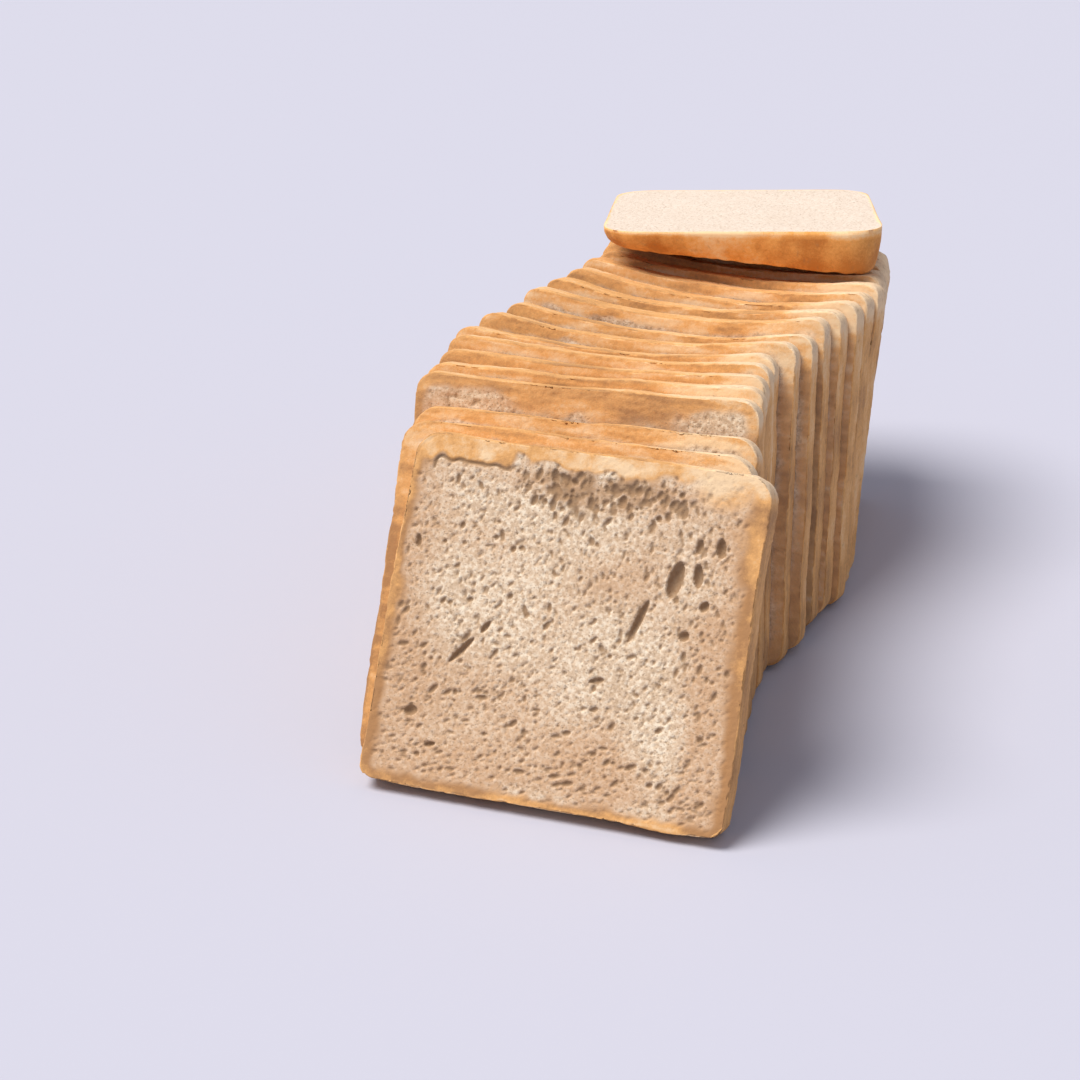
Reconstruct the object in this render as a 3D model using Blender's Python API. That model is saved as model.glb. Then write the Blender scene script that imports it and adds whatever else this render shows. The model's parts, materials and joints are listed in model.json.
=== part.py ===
"""A square sandwich loaf, all of it sliced, with the heel laid cut face up on the far end of the row.

Run with: blender --background --python part.py
Metres, +Z up. The row runs along Y: the front slice faces -Y, and every slice leans back towards +Y.
"""
import math
from dataclasses import dataclass
from functools import partial

import bmesh
import bpy
import numpy as np
from mathutils import Matrix, Vector
from mathutils.bvhtree import BVHTree

MM = 0.001

# Section of the loaf, as its slices show it
BOTTOM_WIDTH = 119.0 * MM
TOP_WIDTH = 114.0 * MM
HEIGHT = 114.5 * MM
BOTTOM_CORNER = 5.5 * MM
THICKNESS = 12.2 * MM
CORNER_STEPS = 5
SIDE_STEPS = 6

# Row of slices
SLICE_COUNT = 21
SLICE_GAP = 0.45 * MM
SETTLE = 0.7 * MM
SEED = 27

# Unevenness of the soft bread
OUTLINE_WAVE = 0.6 * MM
CRUST_BULGE = 0.35 * MM
FACE_DISH = 0.5 * MM
LEAST_DISH = 0.3
DISH_RING = 0.5
WAVES = (2, 3, 5)
SIZE_SPREAD = 0.5 * MM

# Distances that count as none when points are compared and cut
SAME_LEVEL = 1e-6
CUT_TOLERANCE = 1e-7

# Heel, a wedge with its cut face up and its baked end below. Its sides curve in by the tuck over
# their share of the thickness, and the belly's rings are outline scale and share of the thickness
HEEL_WIDTH = 107.0 * MM
HEEL_BACK_WIDTH = 103.0 * MM
HEEL_DEPTH = 98.0 * MM
HEEL_CORNER = 15.0 * MM
HEEL_THIN = 7.0 * MM
HEEL_THICK = 20.5 * MM
HEEL_SHIFT = 5.5 * MM
HEEL_FRONT = 234.0 * MM
HEEL_YAW = math.radians(13.0)
HEEL_TILT_BACK = math.radians(5.0)
HEEL_TILT_LEFT = math.radians(2.4)
HEEL_CLEARANCE = 0.5 * MM
HEEL_SIDE_STEPS = 5
HEEL_SIDE_SHARE = 0.92
HEEL_TUCK = 0.09
HEEL_BELLY = ((0.6, 0.98), (0.3, 1.0))

# Finishes: linear base colour and roughness
CRUMB = ((0.53, 0.42, 0.28), 0.92)
CRUST = ((0.50, 0.24, 0.07), 0.78)


@dataclass(frozen=True)
class Station:
    """How the slice of this number stands: shift to the right, turn and lean in degrees, the
    sideways skew of its top over its bottom, the height it lacks, its top corners' radius, and how
    far its top sinks in the middle."""

    number: float
    shift: float
    yaw: float
    lean: float
    skew: float
    drop: float
    corner: float
    sag: float


# Behind slice 10 the row leans less, which opens a wedge between it and slice 11
STATIONS = (
    Station(1, 0.0 * MM, 0.0, 21.5, 3.8 * MM, 2.5 * MM, 8.5 * MM, 0.0 * MM),
    Station(2, -6.0 * MM, 1.5, 20.5, 1.5 * MM, 4.0 * MM, 9.0 * MM, 0.0 * MM),
    Station(3, -6.5 * MM, 3.0, 19.5, 0.5 * MM, 4.5 * MM, 9.0 * MM, 0.0 * MM),
    Station(4, -8.0 * MM, 5.5, 16.0, -1.0 * MM, 0.0 * MM, 7.0 * MM, 1.0 * MM),
    Station(8, -12.5 * MM, 4.0, 15.5, -3.5 * MM, 0.0 * MM, 7.0 * MM, 4.5 * MM),
    Station(10, -5.5 * MM, 1.0, 15.6, -4.2 * MM, 0.0 * MM, 7.0 * MM, 6.0 * MM),
    Station(11, -4.5 * MM, -0.5, 12.0, -4.5 * MM, 0.0 * MM, 7.0 * MM, 6.5 * MM),
    Station(13, -0.5 * MM, -3.0, 12.4, -2.5 * MM, 0.0 * MM, 7.0 * MM, 6.5 * MM),
    Station(15, -1.5 * MM, -4.5, 12.9, 1.5 * MM, 0.5 * MM, 7.0 * MM, 5.0 * MM),
    Station(18, -10.5 * MM, -6.0, 13.5, 4.5 * MM, 3.5 * MM, 7.0 * MM, 2.5 * MM),
    Station(21, -16.0 * MM, -6.0, 14.0, 4.0 * MM, 10.0 * MM, 7.0 * MM, 0.8 * MM),
)

# Bubbles that show on the front slice, in millimetres and degrees:
# across from the middle, up from the bottom, half width, half length, depth, slant to the right
FRONT_BUBBLES = (
    (32.0, 76.5, 2.3, 6.0, 2.8, 11.0),
    (38.8, 78.6, 1.5, 3.8, 2.2, -5.0),
    (44.5, 87.8, 1.5, 3.2, 2.2, -4.0),
    (42.2, 69.6, 1.4, 1.9, 1.8, 36.0),
    (22.5, 62.3, 1.2, 7.6, 2.0, 20.0),
    (37.5, 59.7, 1.5, 1.8, 1.8, 52.0),
    (-32.1, 45.2, 1.0, 6.0, 1.8, 40.0),
    (-25.4, 53.5, 0.9, 2.6, 1.4, 33.0),
    (-45.4, 23.9, 1.7, 2.3, 1.8, 72.0),
    (-51.6, 77.4, 1.0, 2.2, 1.5, -5.0),
    (-37.4, 14.3, 0.9, 1.9, 1.4, 70.0),
    (12.6, 42.2, 1.0, 2.6, 1.4, 74.0),
    (37.8, 87.5, 1.2, 2.4, 1.6, 8.0),
)


def station_value(number, field):
    """The value of one field for a slice, read along straight runs between the stations."""
    numbers = [station.number for station in STATIONS]
    values = [getattr(station, field) for station in STATIONS]
    return float(np.interp(number, numbers, values))


def rounded_outline(bottom_width, top_width, height, bottom_corner, top_corner):
    """Points once round a rounded trapezoid that stands on z = 0, from the lower right corner up."""
    corners = (
        (bottom_width / 2, 0.0, bottom_corner, -90.0),
        (top_width / 2, height, top_corner, 0.0),
        (-top_width / 2, height, top_corner, 90.0),
        (-bottom_width / 2, 0.0, bottom_corner, 180.0),
    )
    arcs = []
    for x, z, radius, start in corners:
        centre = Vector((x - math.copysign(radius, x), radius if z == 0.0 else z - radius))
        angles = [math.radians(start + 90.0 * step / CORNER_STEPS) for step in range(CORNER_STEPS + 1)]
        arcs.append([centre + radius * Vector((math.cos(a), math.sin(a))) for a in angles])
    points = []
    for arc, next_arc in zip(arcs, arcs[1:] + arcs[:1]):
        points += arc
        points += [arc[-1].lerp(next_arc[0], step / SIDE_STEPS) for step in range(1, SIDE_STEPS)]
    return points


def wavy(points, rng, amplitude):
    """The outline with slow waves in and out, as soft bread keeps them."""
    middle = sum(points, Vector((0.0, 0.0))) / len(points)
    phases = rng.uniform(0.0, 2.0 * math.pi, len(WAVES))
    waved = []
    for index, point in enumerate(points):
        turn = 2.0 * math.pi * index / len(points)
        wave = sum(math.sin(k * turn + phase) / k for k, phase in zip(WAVES, phases))
        waved.append(point + amplitude * wave * (point - middle).normalized())
    return waved


def closed_body(rings, first_centre, last_centre):
    """A closed mesh from rings of equal count, with a fan to a centre point at either end."""
    mesh = bmesh.new()
    loops = [[mesh.verts.new(point) for point in ring] for ring in rings]
    for loop, next_loop in zip(loops, loops[1:]):
        for a, b, c, d in zip(loop, loop[1:] + loop[:1], next_loop[1:] + next_loop[:1], next_loop):
            mesh.faces.new((a, b, c, d))
    for loop, centre in ((loops[0], first_centre), (loops[-1], last_centre)):
        tip = mesh.verts.new(centre)
        for a, b in zip(loop, loop[1:] + loop[:1]):
            mesh.faces.new((a, b, tip))
    bmesh.ops.triangulate(mesh, faces=mesh.faces)
    bmesh.ops.recalc_face_normals(mesh, faces=mesh.faces)
    return mesh


def sunken(point, height, sag):
    """The point, lowered as the middle of the top is; the sides and the bottom stay."""
    across = min(1.0, abs(2.0 * point.x / TOP_WIDTH))
    up = max(0.0, 2.0 * point.y / height - 1.0)
    return Vector((point.x, point.y - sag * (1.0 - across**2) * up))


def slice_mesh(rng, height, station):
    """One slice as a slab from y = 0, its front face, to y = THICKNESS, with a bulging crust band."""
    skew = station("skew")
    spread = rng.uniform(-SIZE_SPREAD, SIZE_SPREAD, 2)
    outline = rounded_outline(
        BOTTOM_WIDTH + spread[0], TOP_WIDTH + spread[0], height + spread[1], BOTTOM_CORNER, station("corner")
    )
    outline = [sunken(point, height, station("sag")) for point in outline]
    outline = [Vector((p.x + skew * p.y / height, p.y)) for p in wavy(outline, rng, OUTLINE_WAVE)]
    middle = Vector((skew / 2, height / 2))

    def ring(scale, y, grow=0.0):
        points = []
        for point in outline:
            arm = point - middle
            place = middle + scale * arm + grow * arm.normalized()
            points.append(Vector((place.x, y, place.y)))
        return points

    dish = rng.uniform(LEAST_DISH, 1.0, 2) * FACE_DISH
    rings = [
        ring(DISH_RING, dish[0]),
        ring(1.0, 0.0),
        ring(1.0, THICKNESS / 2, CRUST_BULGE),
        ring(1.0, THICKNESS),
        ring(DISH_RING, THICKNESS - dish[1]),
    ]
    front = Vector((middle.x, dish[0], middle.y))
    back = Vector((middle.x, THICKNESS - dish[1], middle.y))
    return closed_body(rings, front, back)


def slice_turn(number):
    """The slice's turn: leant back and then turned on the surface."""
    yaw, lean = (math.radians(station_value(number, field)) for field in ("yaw", "lean"))
    return Matrix.Rotation(yaw, 3, "Z") @ Matrix.Rotation(-lean, 3, "X")


def face_points(mesh, turn, near_back):
    """The turned points of the slice's back or front edge, before the slice is placed."""
    level = THICKNESS if near_back else 0.0
    return [turn @ v.co for v in mesh.verts if abs(v.co.y - level) < SAME_LEVEL]


def row_place(before, mesh, turn, base):
    """How far along Y the next slice goes, so that one plane keeps it clear of the slice before.

    Either every back point of the slice before is ahead of the new front plane, or every front
    point of the new slice is behind the old back plane. The nearer of the two places is taken.
    """
    old_back, old_normal = before
    new_normal = turn @ Vector((0.0, 1.0, 0.0))
    new_front = [base + point for point in face_points(mesh, turn, near_back=False)]
    by_new_plane = max(SLICE_GAP + new_normal.dot(p - new_front[0]) for p in old_back) / new_normal.y
    by_old_plane = max(SLICE_GAP - old_normal.dot(p - old_back[0]) for p in new_front) / old_normal.y
    return min(by_new_plane, by_old_plane)


def sink_bubbles(front_slice):
    """Sinks the front slice's larger bubbles into its front face, as short blind hollows."""
    bubbles = bmesh.new()
    sideways = station_value(1, "skew") / (HEIGHT - station_value(1, "drop"))
    for across, up, half_width, half_height, depth, slant in FRONT_BUBBLES:
        place = Matrix.Translation(Vector((across + sideways * up, 0.0, up)) * MM)
        turn = Matrix.Rotation(math.radians(slant), 4, "Y")
        size = Matrix.Diagonal(Vector((half_width, depth, half_height, 1.0 / MM)) * MM)
        bmesh.ops.create_icosphere(bubbles, subdivisions=2, radius=1.0, matrix=place @ turn @ size)
    data = bpy.data.meshes.new("bubbles")
    bubbles.to_mesh(data)
    bubbles.free()
    cutter = bpy.data.objects.new("bubbles", data)
    cutter.parent = front_slice
    cutter.hide_render = True
    cutter.display_type = "WIRE"
    bpy.context.scene.collection.objects.link(cutter)
    cut = front_slice.modifiers.new("bubbles", "BOOLEAN")
    cut.operation = "DIFFERENCE"
    cut.object = cutter


def finish(name, colour, roughness):
    """A plain bread material."""
    material = bpy.data.materials.new(name)
    material.use_nodes = True
    shader = material.node_tree.nodes["Principled BSDF"]
    shader.inputs["Base Color"].default_value = (*colour, 1.0)
    shader.inputs["Roughness"].default_value = roughness
    shader.inputs["Metallic"].default_value = 0.0
    return material


def add_node(name, mesh, parent, look):
    """Links a bmesh to the scene as a named object with a material of its own."""
    data = bpy.data.meshes.new(name)
    mesh.to_mesh(data)
    mesh.free()
    node = bpy.data.objects.new(name, data)
    node.parent = parent
    colour, roughness = look
    data.materials.append(finish(f"{name}_bread", colour, roughness))
    bpy.context.scene.collection.objects.link(node)
    return node


def trim_flat(mesh, matrix):
    """Cuts off what would reach below the surface, so the slice rests on a flat strip."""
    level = matrix.inverted()
    point = level @ Vector((0.0, 0.0, 0.0))
    normal = (level.to_3x3() @ Vector((0.0, 0.0, 1.0))).normalized()
    cut = bmesh.ops.bisect_plane(
        mesh, geom=mesh.verts[:] + mesh.edges[:] + mesh.faces[:], dist=CUT_TOLERANCE,
        plane_co=point, plane_no=normal, clear_inner=True,
    )
    edges = [item for item in cut["geom_cut"] if isinstance(item, bmesh.types.BMEdge)]
    bmesh.ops.contextual_create(mesh, geom=edges)
    bmesh.ops.triangulate(mesh, faces=mesh.faces)
    bmesh.ops.recalc_face_normals(mesh, faces=mesh.faces)


def build_row(parent):
    """All slices from the front one back, each placed against the one before it."""
    rng = np.random.default_rng(SEED)
    slices = []
    before = None
    for number in range(1, SLICE_COUNT + 1):
        height = HEIGHT - station_value(number, "drop")
        mesh = slice_mesh(rng, height, partial(station_value, number))
        turn = slice_turn(number)
        lowest = min((turn @ v.co).z for v in mesh.verts)
        base = Vector((station_value(number, "shift"), 0.0, -lowest - SETTLE))
        along = row_place(before, mesh, turn, base) if before else 0.0
        base.y = along
        before = ([base + p for p in face_points(mesh, turn, near_back=True)], turn @ Vector((0, 1, 0)))
        matrix = Matrix.Translation(base) @ turn.to_4x4()
        trim_flat(mesh, matrix)
        node = add_node(f"slice_{number:02d}", mesh, parent, CRUMB)
        node.matrix_local = matrix
        slices.append(node)
    return slices


def heel_mesh():
    """The heel: a flat cut face at z = 0 and a rounded wedge of baked crust below it."""
    outline = rounded_outline(HEEL_WIDTH, HEEL_BACK_WIDTH, HEEL_DEPTH, HEEL_CORNER, HEEL_CORNER)
    outline = wavy(outline, np.random.default_rng(SEED), OUTLINE_WAVE)
    middle = Vector((0.0, HEEL_DEPTH / 2))

    def ring(scale, share):
        points = []
        for point in outline:
            place = middle + scale * (point - middle)
            across = place.x / HEEL_WIDTH + 0.5
            thickness = HEEL_THIN + (HEEL_THICK - HEEL_THIN) * across
            points.append(Vector((place.x, place.y, -share * thickness)))
        return points

    rings = [ring(DISH_RING, 0.0), ring(1.0, 0.0)]
    for step in range(1, HEEL_SIDE_STEPS + 1):
        angle = 0.5 * math.pi * step / HEEL_SIDE_STEPS
        rings.append(ring(1.0 - HEEL_TUCK * (1.0 - math.cos(angle)), HEEL_SIDE_SHARE * math.sin(angle)))
    rings += [ring(scale, share) for scale, share in HEEL_BELLY]
    top = Vector((0.0, middle.y, 0.0))
    bottom = Vector((0.0, middle.y, -(HEEL_THIN + HEEL_THICK) / 2))
    return closed_body(rings, top, bottom)


def world_tree(node):
    """A search tree over a node's faces, where they stand."""
    points = [node.matrix_world @ v.co for v in node.data.vertices]
    return BVHTree.FromPolygons(points, [list(p.vertices) for p in node.data.polygons])


def clear_height(heel, slices):
    """The least upright distance from the slices' tops to the heel's underside."""
    heel_tree = world_tree(heel)
    up, down = Vector((0.0, 0.0, 1.0)), Vector((0.0, 0.0, -1.0))
    distances = []
    for node in slices:
        tree = world_tree(node)
        hits = [heel_tree.ray_cast(node.matrix_world @ v.co, up) for v in node.data.vertices]
        hits += [tree.ray_cast(heel.matrix_world @ v.co, down) for v in heel.data.vertices]
        distances += [hit[3] for hit in hits if hit[3] is not None]
    return min(distances)


def lay_heel(heel, slices):
    """Turns the heel, tips it back and to the left, and lets it down onto the slices."""
    turn = Matrix.Rotation(HEEL_YAW, 4, "Z") @ Matrix.Rotation(-HEEL_TILT_BACK, 4, "X")
    turn = turn @ Matrix.Rotation(-HEEL_TILT_LEFT, 4, "Y")
    heel.matrix_local = Matrix.Translation((HEEL_SHIFT, HEEL_FRONT, 2.0 * HEIGHT)) @ turn
    bpy.context.view_layer.update()
    heel.location.z -= clear_height(heel, slices) - HEEL_CLEARANCE


def centre_over_origin(loaf, nodes):
    """Moves the whole loaf so that its footprint's middle is at the origin."""
    bpy.context.view_layer.update()
    points = np.array([node.matrix_world @ v.co for node in nodes for v in node.data.vertices])
    low, high = points.min(axis=0), points.max(axis=0)
    loaf.location = (-(low[0] + high[0]) / 2, -(low[1] + high[1]) / 2, -low[2])


def main():
    """Builds the slices from the front one back, lays the heel on them and centres the loaf."""
    for leftover in list(bpy.data.objects):
        bpy.data.objects.remove(leftover, do_unlink=True)
    loaf = bpy.data.objects.new("loaf", None)
    bpy.context.scene.collection.objects.link(loaf)
    slices = build_row(loaf)
    sink_bubbles(slices[0])
    heel = add_node("heel", heel_mesh(), loaf, CRUST)
    bpy.context.view_layer.update()
    lay_heel(heel, slices)
    centre_over_origin(loaf, slices + [heel])


main()
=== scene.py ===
"""Dresses the packed sandwich loaf: crumb, crust, heel, floor, light and camera.

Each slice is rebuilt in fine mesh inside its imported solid. Its outline is read off that solid, and
the measures below are millimetres in the slice's own space: x across, y into the loaf, z up.
"""
import json
import logging
import math
from dataclasses import dataclass
from enum import Enum

import bpy
import numpy as np
from mathutils import Matrix, Vector

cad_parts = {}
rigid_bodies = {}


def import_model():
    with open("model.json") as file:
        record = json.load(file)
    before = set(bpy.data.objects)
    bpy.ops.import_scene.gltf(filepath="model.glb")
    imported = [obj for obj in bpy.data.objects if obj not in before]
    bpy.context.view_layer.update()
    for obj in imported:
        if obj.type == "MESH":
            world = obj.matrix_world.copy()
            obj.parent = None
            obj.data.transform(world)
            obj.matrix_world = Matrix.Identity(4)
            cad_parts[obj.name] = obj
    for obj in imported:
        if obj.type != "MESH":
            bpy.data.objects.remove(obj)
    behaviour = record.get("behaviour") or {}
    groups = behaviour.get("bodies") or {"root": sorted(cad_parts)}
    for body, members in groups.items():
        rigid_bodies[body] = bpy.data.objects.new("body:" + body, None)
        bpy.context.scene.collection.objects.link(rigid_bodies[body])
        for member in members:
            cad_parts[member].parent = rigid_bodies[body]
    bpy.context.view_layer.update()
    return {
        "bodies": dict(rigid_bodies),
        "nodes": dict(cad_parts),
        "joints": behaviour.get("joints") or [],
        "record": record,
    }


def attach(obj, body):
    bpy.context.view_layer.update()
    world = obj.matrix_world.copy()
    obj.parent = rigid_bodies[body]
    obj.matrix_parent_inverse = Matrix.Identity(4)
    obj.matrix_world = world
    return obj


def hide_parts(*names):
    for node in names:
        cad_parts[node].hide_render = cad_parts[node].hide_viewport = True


Colour = tuple[float, float, float]
Place = tuple[float, float, float]
Array = np.ndarray

LOG = logging.getLogger("loaf")
MM = 0.001
THICKNESS = 12.2
SLICE_COUNT = 21

# How the slices stand, by number: turn and lean in degrees, read along straight runs
STATION_NUMBERS = (1, 2, 3, 4, 8, 10, 11, 13, 15, 18, 21)
STATION_YAWS = (0.0, 1.5, 3.0, 5.5, 4.0, 1.0, -0.5, -3.0, -4.5, -6.0, -6.0)
STATION_LEANS = (21.5, 20.5, 19.5, 16.0, 15.5, 15.6, 12.0, 12.4, 12.9, 13.5, 14.0)

# The crust's drawn lines: lean of the slices that they follow, and their scale along each way
USUAL_LEAN = 15.0
LINE_SCALE = (0.28, 0.85, 0.28)

# Where the front slice's own origin stands, and the skew of its top over its bottom
FRONT_ORIGIN = (7.3236, -169.9433, 3.9945)
FRONT_SKEW = 3.8 / 112.0

# Larger bubbles of the front slice: across, up, half width, half length, depth, slant in degrees
FRONT_BUBBLES = (
    (32.0, 76.5, 2.3, 6.0, 2.8, 11.0),
    (38.8, 78.6, 1.5, 3.8, 2.2, -5.0),
    (44.5, 87.8, 1.5, 3.2, 2.2, -4.0),
    (42.2, 69.6, 1.4, 1.9, 1.8, 36.0),
    (22.5, 62.3, 1.2, 7.6, 2.0, 20.0),
    (37.5, 59.7, 1.5, 1.8, 1.8, 52.0),
    (-32.1, 45.2, 1.0, 6.0, 1.8, 40.0),
    (-25.4, 53.5, 0.9, 2.6, 1.4, 33.0),
    (-45.4, 23.9, 1.7, 2.3, 1.8, 72.0),
    (-51.6, 77.4, 1.0, 2.2, 1.5, -5.0),
    (-37.4, 14.3, 0.9, 1.9, 1.4, 70.0),
    (12.6, 42.2, 1.0, 2.6, 1.4, 74.0),
    (37.8, 87.5, 1.2, 2.4, 1.6, 8.0),
)

# The front slice's own pore map, and how far right of the slice's middle it is read
FRONT_MAP_SIZE = 140.0
FRONT_MAP_PITCH = 0.2
FRONT_MAP_SHIFT = 64.0

# Small pores of that map: how many, middle, half sides, usual half width, most stretch, seed
FRONT_PORES = (
    (3000, (64.0, 56.0), (62.0, 58.0), 0.37, 2.4, 31),
    (720, (64.0, 54.0), (60.0, 50.0), 0.52, 2.6, 32),
    (100, (74.0, 99.5), (28.0, 5.5), 0.72, 2.0, 33),
    (60, (96.0, 11.0), (22.0, 7.0), 0.5, 2.0, 34),
)

# The maps that all slices share, and how far apart two slices read them
MAP_SIZE = 128.0
MAP_PITCH = 0.25
MAP_STEP = (37.3, 61.7)

# Spread and cap of a pore's size, as powers of e, and spread of its slant in degrees
PORE_SPREAD = 0.38
PORE_CAP = 0.6
SLANT_SPREAD = 24.0

# Points between two corners of a packed outline, and how flat its face is
CURVE_STEPS = 24
FLAT_SLACK = 0.012

# The crust band: inset and depth of its rounded edge's rows, then its even rows
ROUNDED_EDGE = ((0.2, 0.0), (0.08, 0.05), (0.02, 0.18))
EDGE_END = 0.5
EVEN_START = 1.35
EVEN_ROWS = 11

# Narrowest rim of crust on a face, how far its dish reaches in, and its depth in the middle
LEAST_RIM = 1.2
DISH_REACH = 30.0
DISH_DEPTH = 0.35
TIP_DEPTH = 0.4


class Cap(Enum):
    """How finely a slice's face is meshed."""

    GRID = "an even grid over the whole face"
    RIM = "rings that are fine at the rim and coarse inside"
    FAN = "a few rings, for a face that is hidden"


# How far inside a face's edge its rings lie
RING_INSETS = {
    Cap.RIM: (0.45, 0.95, 1.5, 2.1, 2.8, 3.6, 4.6, 6.0, 8.0, 12.0, 22.0, 38.0),
    Cap.FAN: (1.0, 3.0, 12.0, 35.0),
}


def smooth_step(low: float, high: float, value: Array) -> Array:
    """Rises smoothly from 0 at low to 1 at high, or falls if high is below low."""
    share = np.clip((value - low) / (high - low), 0.0, 1.0)
    return share * share * (3.0 - 2.0 * share)


def lengths_along(points: Array) -> Array:
    """Length of a line of points from its start to each of them."""
    return np.concatenate([[0.0], np.cumsum(np.linalg.norm(np.diff(points, axis=0), axis=1))])


@dataclass(frozen=True)
class Field:
    """A periodic map of values, such as pore depths, that is read between its cells."""

    values: Array
    pitch: float

    def at(self, x: Array, y: Array) -> Array:
        """Reads the map.

        Args:
            x: Places along the map's columns, in millimetres.
            y: Places along the map's rows, in millimetres.

        Returns:
            The values there, blended from the four cells round each place.
        """
        rows, columns = self.values.shape
        across, up = x / self.pitch, y / self.pitch
        left, low = np.floor(across).astype(int), np.floor(up).astype(int)
        part_x, part_y = across - left, up - low

        def cell(column: Array, row: Array) -> Array:
            """The values of whole cells, wrapped round the map's edges."""
            return self.values[row % rows, column % columns]

        near = (1.0 - part_x) * cell(left, low) + part_x * cell(left + 1, low)
        far = (1.0 - part_x) * cell(left, low + 1) + part_x * cell(left + 1, low + 1)
        return (1.0 - part_y) * near + part_y * far

    def along(self, x: Array, y: float) -> Array:
        """Reads the map at places along one of its rows."""
        return self.at(x, np.full_like(x, y))


def noise_field(size: float, pitch: float, run_x: float, run_y: float, seed: int) -> Field:
    """Makes smooth periodic noise.

    Args:
        size: Side of the square map, in millimetres.
        pitch: Width of a cell.
        run_x: Blur along x, about half a bump's width.
        run_y: Blur along y.
        seed: Seed of the random numbers.

    Returns:
        Noise with mean 0 and spread 1.
    """
    count = int(round(size / pitch))
    white = np.random.default_rng(seed).standard_normal((count, count))
    turns = np.fft.fftfreq(count, d=pitch)
    damp_x = np.exp(-2.0 * (math.pi * turns * run_x) ** 2)
    damp_y = np.exp(-2.0 * (math.pi * turns * run_y) ** 2)
    soft = np.fft.ifft2(np.fft.fft2(white) * damp_y[:, None] * damp_x[None, :]).real
    return Field((soft - soft.mean()) / soft.std(), pitch)


def roll_slant(x: float, z: float) -> float:
    """Slant of the dough's roll on a pore map: nearly flat low down, a fan above mid height."""
    rise = float(np.clip(z / 65.0, 0.0, 1.0))
    return 78.0 * (1.0 - rise) + (26.0 - 0.4 * float(np.clip(x, -60.0, 60.0))) * rise


class PoreMap:
    """Depths of the open bubbles that a knife leaves in a slice's face."""

    def __init__(self, size: float, pitch: float) -> None:
        """Starts with a face that has no pores."""
        self.pitch = pitch
        self.depth = np.zeros((int(round(size / pitch)),) * 2)

    def sink(self, x: float, z: float, half_width: float, half_length: float,
             depth: float, slant: float) -> None:
        """Sinks one bubble.

        Args:
            x: Its middle across the face.
            z: Its middle up the face.
            half_width: Half its short side.
            half_length: Half its long side.
            depth: Depth at its middle.
            slant: Lean of its long side to the right, in degrees.
        """
        reach = int(math.ceil(max(half_width, half_length) / self.pitch)) + 1
        column, row = int(round(x / self.pitch)), int(round(z / self.pitch))
        columns = np.arange(column - reach, column + reach + 1)
        rows = np.arange(row - reach, row + reach + 1)
        off_x = (columns * self.pitch - x)[None, :]
        off_z = (rows * self.pitch - z)[:, None]
        turn = math.radians(slant)
        along = (off_x * math.sin(turn) + off_z * math.cos(turn)) / half_length
        across = (off_x * math.cos(turn) - off_z * math.sin(turn)) / half_width
        bowl = depth * np.sqrt(np.clip(1.0 - along**2 - across**2, 0.0, None))
        place = np.ix_(rows % self.depth.shape[0], columns % self.depth.shape[1])
        self.depth[place] = np.maximum(self.depth[place], bowl)

    def scatter(self, count: int, centre: tuple[float, float], spread: tuple[float, float],
                radius: float, stretch: float, seed: int) -> None:
        """Sinks many small bubbles, drawn out along the way the dough was rolled.

        Args:
            count: How many.
            centre: Middle of the patch, across and up.
            spread: Half the patch's sides.
            radius: Usual half width.
            stretch: Most that a bubble is longer than wide.
            seed: Seed of the random numbers.
        """
        rng = np.random.default_rng(seed)
        places = np.array(centre) + rng.uniform(-1.0, 1.0, (count, 2)) * np.array(spread)
        radii = radius * np.exp(np.minimum(rng.normal(0.0, PORE_SPREAD, count), PORE_CAP))
        lengths = radii * rng.uniform(1.0, stretch, count)
        jitters = rng.normal(0.0, SLANT_SPREAD, count)
        for (x, z), half_width, half_length, jitter in zip(places, radii, lengths, jitters):
            self.sink(x, z, half_width, half_length, 0.9 * half_width, roll_slant(x, z) + jitter)

    def field(self) -> Field:
        """The map as a field of depths."""
        return Field(self.depth, self.pitch)


@dataclass(frozen=True)
class Loop:
    """A closed smooth outline in four sides, anticlockwise from its lower left corner."""

    sides: tuple[Array, Array, Array, Array]

    @property
    def points(self) -> Array:
        """All points once round, each corner once."""
        return np.concatenate([side[:-1] for side in self.sides])

    @property
    def middle(self) -> Array:
        """The middle of the outline's box."""
        points = self.points
        return (points.min(axis=0) + points.max(axis=0)) / 2.0

    def outward(self) -> Array:
        """Unit normals at the points, away from the bread."""
        points = self.points
        along = np.roll(points, -1, axis=0) - np.roll(points, 1, axis=0)
        normal = np.stack([along[:, 1], -along[:, 0]], axis=1)
        return normal / np.linalg.norm(normal, axis=1, keepdims=True)

    def inset(self, distance: float) -> "Loop":
        """The same outline moved inwards."""
        moved = self.points - distance * self.outward()
        closed = np.concatenate([moved, moved[:1]])
        corners = np.cumsum([0] + [len(side) - 1 for side in self.sides])
        return Loop(tuple(closed[first:last + 1] for first, last in zip(corners, corners[1:])))

    def grid(self, fractions_x: Array, fractions_z: Array) -> Array:
        """Spreads a grid over the inside, blended from the four sides.

        Args:
            fractions_x: Where the lower and upper side are divided.
            fractions_z: Where the left and right side are divided.

        Returns:
            The grid's inner places, row by row from the bottom.
        """
        low, right, top, left = self.sides
        top, left = top[::-1], left[::-1]
        u, v = fractions_x[None, :, None], fractions_z[:, None, None]
        grid = (1 - v) * low[None] + v * top[None] + (1 - u) * left[:, None] + u * right[:, None]
        corners = (1 - u) * (1 - v) * low[0] + u * (1 - v) * low[-1] + (1 - u) * v * top[0] + u * v * top[-1]
        return (grid - corners)[1:-1, 1:-1].reshape(-1, 2)


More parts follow.
